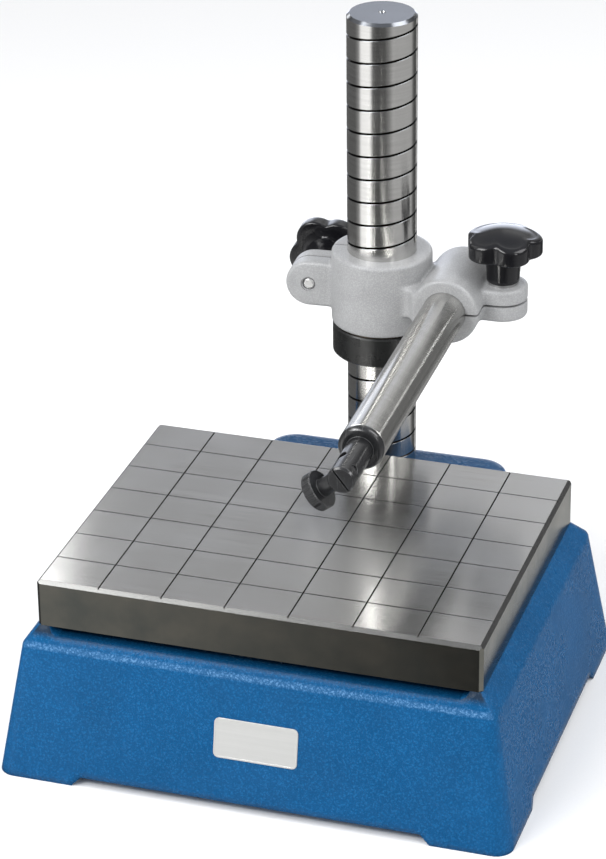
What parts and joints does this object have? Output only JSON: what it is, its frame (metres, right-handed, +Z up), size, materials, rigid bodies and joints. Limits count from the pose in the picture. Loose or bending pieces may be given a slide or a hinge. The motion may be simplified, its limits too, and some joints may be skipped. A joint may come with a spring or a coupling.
{
  "type": "comparator stand",
  "caption": "Bench stand for a dial indicator: scribed plate on a cast base, grooved column with a height ring nut, split double clamp and a round arm with a stem holder.",
  "frame": {"origin": "middle of the base's footprint, on the bench under its feet", "axes": "+Z up along the column, -Y the way the arm points over the plate, +X to the right when the stand is seen from the front"},
  "size_m": [0.351, 0.361, 0.4424],
  "materials": {
    "base_paint": "blue hammer-effect paint on a casting",
    "ground_steel": "ground top with scribed lines, darker oiled sides",
    "screw_steel": "plain fastener steel",
    "column_steel": "turned and polished",
    "thrust_bronze": "plain bearing bronze",
    "black_nut": "blackened, satin",
    "clamp_paint": "light grey fine-textured paint",
    "knob_plastic": "black moulded, glossy top",
    "insert_brass": "plain",
    "arm_steel": "ground and polished bar",
    "holder_black": "blackened steel, satin"
  },
  "bodies": {
    "stand": {"base_casting": "base_paint", "table_plate": "ground_steel", "plate_screws": "screw_steel", "plate_screw_washers": "screw_steel", "column_foot_ring": "column_steel", "column": "column_steel", "column_bolt": "screw_steel", "column_bolt_washer": "screw_steel"},
    "height_washer": {"thrust_washer": "thrust_bronze"},
    "height_nut": {"ring_nut": "black_nut", "nut_guide_screw": "screw_steel"},
    "clamp": {"clamp_body": "clamp_paint"},
    "column_screw": {"column_clamp_stud": "screw_steel", "column_clamp_washer": "screw_steel", "column_clamp_insert": "insert_brass", "column_clamp_knob": "knob_plastic"},
    "arm_screw": {"arm_clamp_stud": "screw_steel", "arm_clamp_washer": "screw_steel", "arm_clamp_insert": "insert_brass", "arm_clamp_knob": "knob_plastic"},
    "arm": {"arm_rod": "arm_steel", "arm_set_screw": "screw_steel"},
    "holder": {"indicator_holder": "holder_black"},
    "holder_screw": {"thumb_screw": "holder_black"}
  },
  "joints": [
    {"name": "height", "type": "slide", "parent": "stand", "child": "height_washer", "axis": [0, 0, 1], "range_m": [-0.07, 0.165]},
    {"name": "nut_turn", "type": "hinge", "parent": "height_washer", "child": "height_nut", "pos_m": [0, 0.12984, 0.2065], "axis": [0, 0, 1], "range_deg": [-1506, 3548]},
    {"name": "clamp_swivel", "type": "hinge", "parent": "height_washer", "child": "clamp", "pos_m": [0, 0.12984, 0.244], "axis": [0, 0, 1], "continuous": true},
    {"name": "arm_reach", "type": "slide", "parent": "clamp", "child": "arm", "axis": [0.0175, -0.9998, 0], "range_m": [-0.18, 0.012]},
    {"name": "holder_roll", "type": "hinge", "parent": "arm", "child": "holder", "pos_m": [0.05778, -0.10919, 0.244], "axis": [0.0175, -0.9998, 0], "continuous": true},
    {"name": "column_screw_turn", "type": "hinge", "parent": "clamp", "child": "column_screw", "pos_m": [-0.04938, 0.12638, 0.244], "axis": [-0.0698, 0.9976, 0], "range_deg": [0, 720]},
    {"name": "arm_screw_turn", "type": "hinge", "parent": "clamp", "child": "arm_screw", "pos_m": [0.08599, 0.13134, 0.244], "axis": [0, 0, 1], "range_deg": [0, 720]},
    {"name": "thumb_screw_turn", "type": "hinge", "parent": "holder", "child": "holder_screw", "pos_m": [0.05852, -0.15168, 0.244], "axis": [-0.7879, -0.0138, -0.6157], "range_deg": [0, 720]}
  ],
  "couplings": [
    {"joint": "nut_turn", "follows": "height", "rad_per_m": 375.12}
  ]
}
